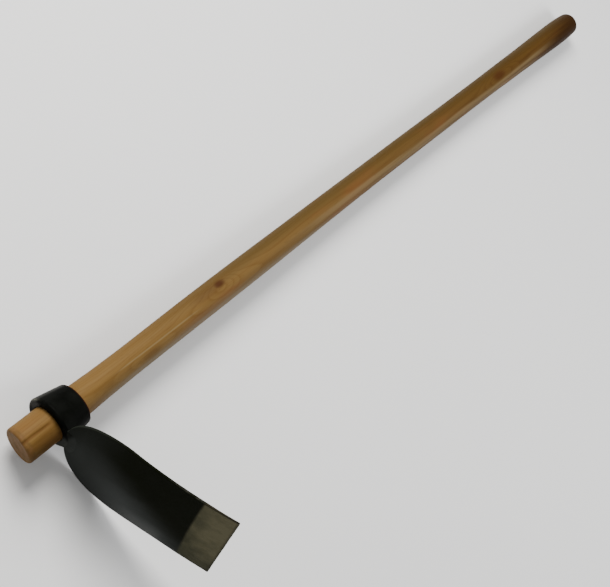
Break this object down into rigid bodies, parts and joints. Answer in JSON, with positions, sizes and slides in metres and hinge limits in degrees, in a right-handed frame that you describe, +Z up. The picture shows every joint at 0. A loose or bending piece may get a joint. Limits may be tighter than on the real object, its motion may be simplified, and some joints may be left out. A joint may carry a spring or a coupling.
{
  "type": "grub hoe",
  "caption": "Long-handled grub hoe: wide, round-shouldered curved blade welded to a tapered eye collar that slips over a turned wooden handle with a swelling grip.",
  "frame": {"origin": "under the middle of the tool's box, on the ground it lies on", "axes": "+X along the handle towards the grip end, +Y from the blade towards the handle, +Z up with the tool lying at rest on its collar rim, one blade shoulder and the grip"},
  "size_m": [1.2002, 0.2638, 0.1951],
  "materials": {
    "handle_wood": "oiled, warm tan near the head and browner towards the grip, dark red-brown at the grip end",
    "collar_black_steel": "satin black paint on forged steel, worn on the front rim",
    "blade_black_steel": "satin black paint with a bare ground band along the cutting edge",
    "weld_black_steel": "satin black paint over a rippled weld bead"
  },
  "bodies": {
    "handle": {"handle": "handle_wood"},
    "head": {"eye_collar": "collar_black_steel", "blade": "blade_black_steel", "front_weld": "weld_black_steel", "rear_weld": "weld_black_steel"}
  },
  "joints": [
    {"name": "head_slide", "type": "slide", "parent": "handle", "child": "head", "axis": [0.9999, 0, -0.0106], "range_m": [0, 1.2]}
  ]
}
